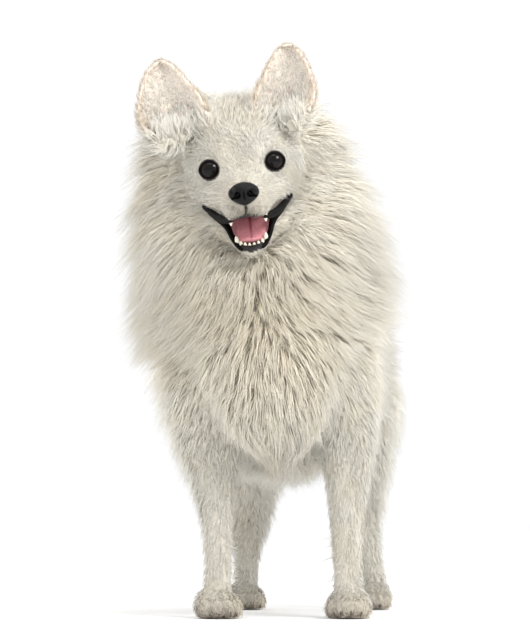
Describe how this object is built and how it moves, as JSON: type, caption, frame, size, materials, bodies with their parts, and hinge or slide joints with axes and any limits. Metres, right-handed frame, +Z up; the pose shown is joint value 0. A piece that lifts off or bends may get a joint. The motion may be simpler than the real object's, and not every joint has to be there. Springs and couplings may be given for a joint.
{
  "type": "pomeranian dog",
  "caption": "White long-coated spitz dog standing square, mouth open, ears upright, deep ruff and a plumed tail carried over the back.",
  "frame": {"origin": "on the floor under the middle of the whole animal, the centre of its box's bottom face", "axes": "+Z up; the dog faces -Y and its left side is +X; the camera of the picture looks along +Y"},
  "size_m": [0.2204, 0.3658, 0.3929],
  "materials": {
    "coat": "long soft off-white hair with a warm cream undercoat",
    "ear_skin": "thin bare pinkish skin edged with short cream fur",
    "nose": "moist pebbled black leather",
    "lips": "moist black lip and lid skin",
    "eye": "wet, glossy dark brown",
    "tongue": "moist pink with a middle groove",
    "teeth": "smooth ivory enamel",
    "claws": "satin horn",
    "whiskers": "stiff tapered hairs"
  },
  "bodies": {
    "root": {"head": "coat", "jaw": "coat", "neck": "coat", "torso": "coat", "tail_base": "coat", "tail_tip": "coat", "ear_right": "ear_skin", "ear_left": "ear_skin", "front_right_leg": "coat", "front_left_leg": "coat", "hind_right_leg": "coat", "hind_left_leg": "coat", "front_right_paw": "coat", "front_left_paw": "coat", "hind_right_paw": "coat", "hind_left_paw": "coat", "nose": "nose", "eye_right": "eye", "eye_left": "eye", "tongue": "tongue"}
  },
  "joints": []
}
